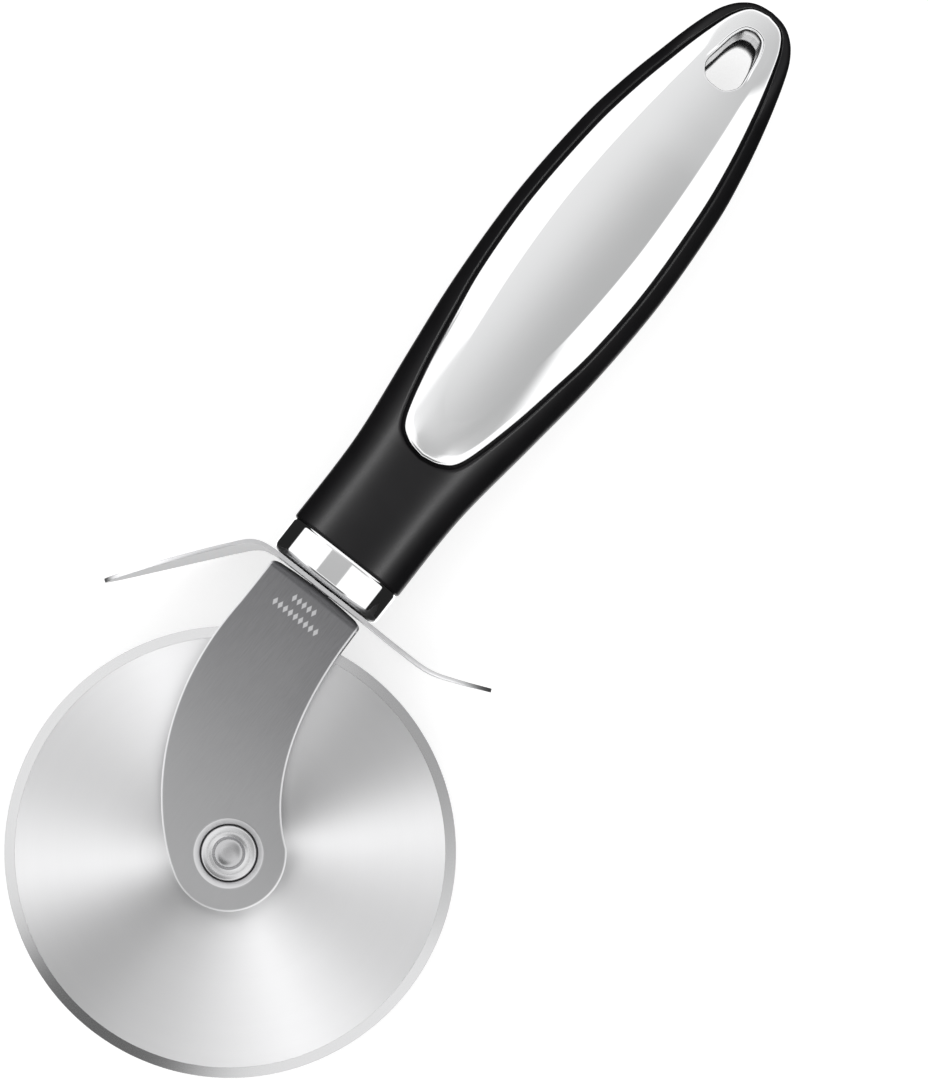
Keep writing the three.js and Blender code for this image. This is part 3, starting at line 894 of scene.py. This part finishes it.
def make_grip_face(bm, way):
    """The grip round one inlay: its skin, the pocket that the plate lies in, and the hang hole."""
    ribs, lip, wall, floor, under, seat = [], [], [], [], [], []
    for share in SHARES:
        y = INLAY_SIDE.at(share).y
        width = groove(y)
        start = side_point(INLAY_SIDE, share, width + LIP_ROUND)
        spine, side = rib_of(start)
        reach = min((start - spine).length / (side - spine).length, 1)
        rib = []
        for k in range(SKIN_STEPS + 1):
            s = 1 - (1 - reach) * (1 - k / SKIN_STEPS) ** CROWDING
            p = spine.lerp(side, s)
            rib.append((p.x, p.y, skin_height(p, s)))
        ribs.append(rib)
        top = rib[0][2]
        depth = plate_floor(y) - 0.1
        turn_in = side_point(INLAY_SIDE, share, width + 0.07)
        lip.append((turn_in.x, turn_in.y, top - 0.06))
        edge = side_point(INLAY_SIDE, share, width)
        wall.append((edge.x, edge.y, top - LIP_ROUND))
        floor.append((edge.x, edge.y, depth))
        inner = side_point(INLAY_SIDE, share, -1.2)
        under.append((inner.x, inner.y, depth))
        spot = Vector((0, inner.y))
        if share >= TIP_SHARE:
            spot = side_point(HOLE_SIDE, hole_share(share), COLLAR_SEAT)
        seat.append((spot.x, spot.y, depth))
    skin_rings = [[rib[k] for rib in ribs] for k in range(SKIN_STEPS, -1, -1)]
    skin(bm, [ring_of(bm, mirrored(ring, way, first=0)) for ring in skin_rings], closed=False)
    pocket = (skin_rings[-1], lip, wall, floor, under, seat)
    skin(bm, [ring_of(bm, mirrored(ring, way)) for ring in pocket])
    hole = [spot for spot, share in zip(seat, SHARES) if share >= TIP_SHARE]
    middle = [(x, y, 0) for x, y, _ in hole]
    skin(bm, [ring_of(bm, mirrored(ring, way)) for ring in (hole, middle)])


def make_grip():
    bm = bmesh.new()
    for way in (1, -1):
        make_neck(bm, way)
    for way in (1, -1):
        make_grip_face(bm, way)
    finish_piece("soft_grip", bm, GRIP, "handle", ["grip_sleeve"], weld=2e-3)


# ---- the inlays -----------------------------------------------------------------------------

LAND_HALF, LAND_CROWN = 8.3, 0.30

def land_crown(p):
    """Height of the land, which is slightly crowned across."""
    return land_top(p.y) - LAND_CROWN * min(abs(p.x) / LAND_HALF, 1.3) ** 2


# How far the plate falls at its ends, and over how wide a band; and the lip round the hang hole.
EDGE_FALL, EDGE_BAND = 0.14, 0.9
LIP_WIDTH = 0.7
# The lip's section from the land to inside the hole: how far from the hole's side, and how high.
LIP_BEAD = (
    (LIP_WIDTH, 0.0), (0.6, 0.05), (0.5, 0.13), (0.38, 0.17), (0.26, 0.16), (0.15, 0.06), (0.06, -0.1),
    (0.01, -0.3), (0, -0.9),
)


def edge_fall(y):
    """The plate's edge falls less at its two ends."""
    return EDGE_FALL * blend(ease(y, 160, 168), 1, 0.2) * blend(ease(y, 76, 83), 0.2, 1)


def plate_column(share):
    """The plate's section at a share of its side: up its edge, up the facet, and in across the land."""
    y = side_point(INLAY_SIDE, share, 0).y
    bottom = plate_floor(y)
    crease = side_point(LAND_SIDE, share, 0)
    end = Vector((crease.x, crease.y, land_crown(crease)))
    crisp = blend(ease(y, 78, 108), 0.38, 1.0) * (1 - ease(y, 164, 173))
    rim = max(edge_height(side_point(INLAY_SIDE, share, 0.3)) + 0.3, bottom + 0.7)
    rim = blend(crisp, land_crown(side_point(INLAY_SIDE, share, 0)) - edge_fall(y), rim)
    column = []
    for grow, height in ((-0.3, bottom), (0, bottom + 0.2), (0, rim - 0.28), (-0.02, rim - 0.14),
                         (-0.09, rim - 0.04), (-0.24, rim + 0.02)):
        p = side_point(INLAY_SIDE, share, grow)
        column.append((p.x, p.y, height))
    start = Vector(column[-1])
    reach = (end - start).length
    for t in (0.08, 0.2, 0.36, 0.52, 0.68, 0.82, 1 - 0.25 / max(reach, 2), 1):
        p = start.lerp(end, t)
        facet = p.z + 0.05 * reach * t * (1 - t)
        fall = edge_fall(y) * max(1 - t * reach / EDGE_BAND, 0) ** 2
        column.append((p.x, p.y, blend(crisp, land_crown(p) - fall, facet)))
    target = Vector((0, max(crease.y, 90)))
    if share >= TIP_SHARE:
        target = side_point(HOLE_SIDE, hole_share(share), LIP_WIDTH)
    near = 0.25 / max((target - crease).length, 1.5)
    for t in (near, 0.12, 0.24, 0.36, 0.48, 0.6, 0.72, 0.84, 0.94, 1):
        p = crease.lerp(target, max(t, near))
        column.append((p.x, p.y, land_crown(p)))
    return column


def collar_loops():
    """The lip round the hang hole, then the collar's bore, its end and its outside."""
    shares = [hole_share(share) for share in SHARES if share >= TIP_SHARE]
    loops = []
    for grow, lift in LIP_BEAD:
        ring = []
        for share in shares:
            p = side_point(HOLE_SIDE, share, grow)
            strength = ease(p.y, 161, 165) if lift > 0 else 1.0
            ring.append((p.x, p.y, land_crown(p) + lift * strength))
        loops.append(ring)
    for grow, height in ((0, 0.25), (0.12, 0.15), (1.2, 0.15), (1.3, 0.3), (1.3, plate_floor(166))):
        loops.append([(*side_point(HOLE_SIDE, share, grow), height) for share in shares])
    return loops


def make_inlay(name, way, stands_for):
    """A bright plate let into one face of the grip, with a collar round the hang hole."""
    bm = bmesh.new()
    bore = bm.verts.layers.float.new("bore")
    columns = [plate_column(share) for share in SHARES]
    plate = [ring_of(bm, mirrored(ring, way)) for ring in zip(*columns)]
    skin(bm, plate)
    collar = [ring_of(bm, mirrored(loop, way)) for loop in collar_loops()]
    # The bore weights mark the hang hole's inner wall and its collar for the chrome's painted shade.
    for loop in collar[len(LIP_BEAD) - 2:]:
        for vert in loop:
            vert[bore] = 1
    skin(bm, collar)
    fill(bm, plate[0], collar[-1])
    finish_piece(name, bm, CHROME, "handle", stands_for, weld=2e-3)


# ---- the ferrule and the screw --------------------------------------------------------------


def oval(y, half, top, count=160):
    """A closed oval across the handle, its points evenly spaced."""
    corners = 720
    dense = []
    for k in range(corners + 1):
        a = 2 * math.pi * k / corners
        c, s = math.cos(a), math.sin(a)
        power = 2 / SQUARENESS
        dense.append(Vector((
            half * math.copysign(abs(c) ** power, c), top * math.copysign(abs(s) ** power, s),
        )))
    lengths = [0.0]
    for a, b in zip(dense, dense[1:]):
        lengths.append(lengths[-1] + (b - a).length)
    points, k = [], 0
    for step in range(count):
        reach = lengths[-1] * step / count
        while lengths[k + 1] < reach:
            k += 1
        p = dense[k].lerp(dense[k + 1], (reach - lengths[k]) / (lengths[k + 1] - lengths[k]))
        points.append((HANDLE_X + p.x, y, p.y))
    return points


def make_ferrule():
    """A drawn cup with a rounded base and a thin lip that turns in under the grip."""
    half = (ferrule_high.x - ferrule_low.x) / 2
    top = ferrule_high.z
    base, brim = ferrule_low.y, ferrule_high.y
    deep = brim - base
    # From the inside of the base, out and up the wall, over the lip and back down inside: rise, inset.
    profile = [
        (0, 6.0), (0, 1.5), (0.03, 1.25), (0.14, 0.85), (0.34, 0.5), (0.62, 0.24), (0.98, 0.07), (1.4, 0),
        (3, 0), (5, 0), (5.9, 0), (6.12, 0.0), (6.2, 0.03), (6.27, 0.1), (6.5, 0.16), (6.72, 0.26),
        (deep - 0.02, 0.4), (deep, 0.55), (deep, 1.2), (3.0, 1.2), (2.6, 1.6), (2.6, 6.0),
    ]
    bm = bmesh.new()
    rings = [ring_of(bm, oval(base + rise, half - inset, top - inset)) for rise, inset in profile]
    skin(bm, rings)
    bm.faces.new(rings[0])
    bm.faces.new(rings[-1])
    piece = finish_piece("ferrule_cup", bm, CHROME, "handle", ["ferrule"])
    even_shading(piece)


def make_screw():
    """The socket-head screw in the handle's axis, and the spring washer under its head."""
    screw_low, screw_high = cad_box_mm("tang_screw")
    head = (screw_high.x - screw_low.x) / 2
    base, tip = screw_low.y, screw_high.y
    profile = [
        (0, base + 0.9), (1.1, base + 0.9, 0.1), (1.1, base, 0.1), (head, base, 0.5), (head, base + 2, 0.1),
        (1.95, base + 2, 0.05), (1.95, tip, 0.4), (0, tip),
    ]
    turned_piece("tang_bolt", rounded(profile, 0.1, 4, closed=False), FASTENER, "handle",
                 ["tang_screw"], segments=64, along_handle=True)
    washer_low, washer_high = cad_box_mm("tang_lock_washer")
    outer = (washer_high.x - washer_low.x) / 2
    washer = [(2.05, washer_low.y), (outer, washer_low.y), (outer, washer_high.y), (2.05, washer_high.y)]
    turned_piece("tang_spring_washer", rounded(washer, 0.12), FASTENER, "handle",
                 ["tang_lock_washer"], segments=64, along_handle=True)


make_wheel()
make_axle()
make_yoke()
make_guard()
make_ferrule()
make_screw()
make_grip()
make_inlay("front_plate", 1, ["front_inlay"])
make_inlay("rear_plate", -1, ["rear_inlay"])

for node, look in (
    ("handle_core", CORE), ("threaded_insert", BRASS),
    ("inlay_pin_1", FASTENER), ("inlay_pin_2", FASTENER), ("inlay_pin_3", FASTENER),
):
    frame["nodes"][node].data.materials.clear()
    frame["nodes"][node].data.materials.append(look)


# ---- the studio -----------------------------------------------------------------------------

TENT_LEVEL, BAR_LEVEL, LOWER_LEVEL = 1.2, 0.52, 0.14
PANEL_LEVEL, PANEL_FALL = 0.87, 0.38
BELOW_LEVEL, HORIZON_LEVEL = 1.6, 0.02
SPLIT = (0.036, 0.042)  # where the bar ends and the panel starts
STRIP_LEVEL = 72.0
WING_LEVEL = 1.8
FLOOR_HALF, FLOOR_GAP = 4.0, 0.0002  # metres
# The wheel's softboxes: name, bearing, width in metres, level.
FAN_LIGHTS = (("narrow_box", 43, 0.23, 2.8), ("broad_box", 149, 0.35, 2.1), ("faint_box", 110, 0.49, 0.85))


def make_floor():
    """A pale floor just under the tool, which its bright pieces don't reflect."""
    look = Look("pale_floor")
    cloud = look.noise(look.place, 0.004, 2.0)
    material = look.finish(
        base_color=look.mix(cloud, 0.50, 0.52), metallic=0.0, roughness=0.9,
        emission_color=(1, 1, 1, 1), emission_strength=0.70,
    )
    bm = bmesh.new()
    bmesh.ops.create_grid(bm, x_segments=8, y_segments=8, size=FLOOR_HALF)
    mesh = bpy.data.meshes.new("floor")
    bm.to_mesh(mesh)
    bm.free()
    mesh.materials.append(material)
    floor = bpy.data.objects.new("floor", mesh)
    floor.location.z = -FLOOR_GAP
    floor.visible_glossy = False
    bpy.context.scene.collection.objects.link(floor)


def make_world():
    """A white tent round the tool, with grey panels overhead and darkness at the horizon.

    Directions overhead are read as slopes, across and along the handle.
    """
    world = bpy.data.worlds.new("tent")
    bpy.context.scene.world = world
    world.use_nodes = True
    nodes = Nodes(world.node_tree)
    way = nodes.add("ShaderNodeTexCoord", output=0)
    x, y, z = nodes.split(way)
    rise = z.maths("MAXIMUM", z, 0.05)
    across, along = x / rise, y / rise

    def over(light, level, mask):
        """A panel's level where its mask is 1, and the light behind the panel elsewhere."""
        return light * (1 - mask) + level * mask

    # Overhead: a narrow grey bar, and behind it a panel that darkens from left to right.
    bar = nodes.band(across, (-0.155, -0.147), (0.035, 0.043))
    bar = bar * nodes.band(along, (-0.25, -0.2), SPLIT)
    panel = nodes.band(along, SPLIT, (0.85, 1.1)) * nodes.band(across, (-0.34, -0.26), (0.26, 0.75))
    shade = nodes.step(across, -0.20, 0.07) * (1 - 0.45 * nodes.step(along, 0.3, 0.9))
    # Towards the wheel: a dark panel.
    lower = nodes.band(along, (-1.3, -1.0), (-0.40, -0.32)) * (1 - nodes.step(abs(across), 0.20, 0.42))
    light = over(TENT_LEVEL, BAR_LEVEL, bar)
    light = over(light, PANEL_LEVEL - PANEL_FALL * shade, panel)
    light = over(light, LOWER_LEVEL, lower)

    above = nodes.step(z, 0.25, 0.30)
    below = 1 - nodes.step(z, -0.97, -0.89)
    light = light * above + BELOW_LEVEL * below + HORIZON_LEVEL
    seen = nodes.add("ShaderNodeLightPath", output=0)
    shown = over(light, 1.0, seen)
    background = nodes.add("ShaderNodeBackground", None, {"Color": (1, 1, 1, 1), "Strength": shown})
    nodes.add("ShaderNodeOutputWorld", None, {"Surface": background})


def soft_light(name, aim, bearing, lean, distance, size, level, lit):
    """A soft rectangle of light that lights one piece: lean is its angle from straight overhead."""
    data = bpy.data.lights.new(name, "AREA")
    data.shape = "RECTANGLE"
    data.size, data.size_y = size
    data.energy = level * math.pi * size[0] * size[1]
    light = bpy.data.objects.new(name, data)
    turn = Matrix.Rotation(math.radians(bearing), 4, "Z") @ Matrix.Rotation(math.radians(lean), 4, "Y")
    turn = turn @ Matrix.Rotation(math.pi / 2, 4, "Z")
    light.matrix_world = Matrix.Translation(AXLE + aim * MM + turn @ Vector((0, 0, distance))) @ turn
    only = bpy.data.collections.new(name + "_lights")
    only.objects.link(bpy.data.objects[lit])
    light.light_linking.receiver_collection = only
    light.light_linking.blocker_collection = only
    bpy.context.scene.collection.objects.link(light)


def make_lights():
    """Strips for the grip, a softbox for each wing of the guard, and pairs that give the wheel its fans."""
    handle = Vector((HANDLE_X, 95, 0))
    for name, bearing in (("left_strip", 180), ("right_strip", 0)):
        soft_light(name, handle, bearing, 38, 0.6, (0.5, 0.05), STRIP_LEVEL, "soft_grip")
    for name, aim, bearing in (("left_wing", (-38, 36, 0), 228), ("right_wing", (12, 48, 0), 338)):
        soft_light(name, Vector(aim), bearing, 68, 0.6, (0.5, 0.6), WING_LEVEL, "guard_strip")
    for name, bearing, width, level in FAN_LIGHTS:
        for side, turn in (("near", 180), ("far", 0)):
            size = (width, 0.73)
            soft_light(f"{name}_{side}", Vector(), bearing + turn, 36, 1.0, size, level, "blade")


def make_camera():
    """Looks down from above the yoke, turned so that the handle runs up to the right."""
    data = bpy.data.cameras.new("camera")
    data.lens = 75.12
    data.sensor_width = 36
    data.sensor_fit = "AUTO"
    data.shift_x, data.shift_y = 0.0462, 0.1110
    data.clip_start, data.clip_end = 0.01, 20
    camera = bpy.data.objects.new("camera", data)
    eye = Vector((6.16, 41.25, 400.0))
    target = Vector((4.65, 46.85, 0.0))
    up = Vector((-0.6171, 0.7869, 0.0))
    back = (eye - target).normalized()
    right = up.cross(back).normalized()
    true_up = back.cross(right)
    turn = Matrix((right, true_up, back)).transposed().to_4x4()
    camera.matrix_world = Matrix.Translation(AXLE + eye * MM) @ turn
    bpy.context.scene.collection.objects.link(camera)
    bpy.context.scene.camera = camera


make_floor()
make_world()
make_lights()
make_camera()
bpy.context.scene.view_settings.view_transform = "Standard"
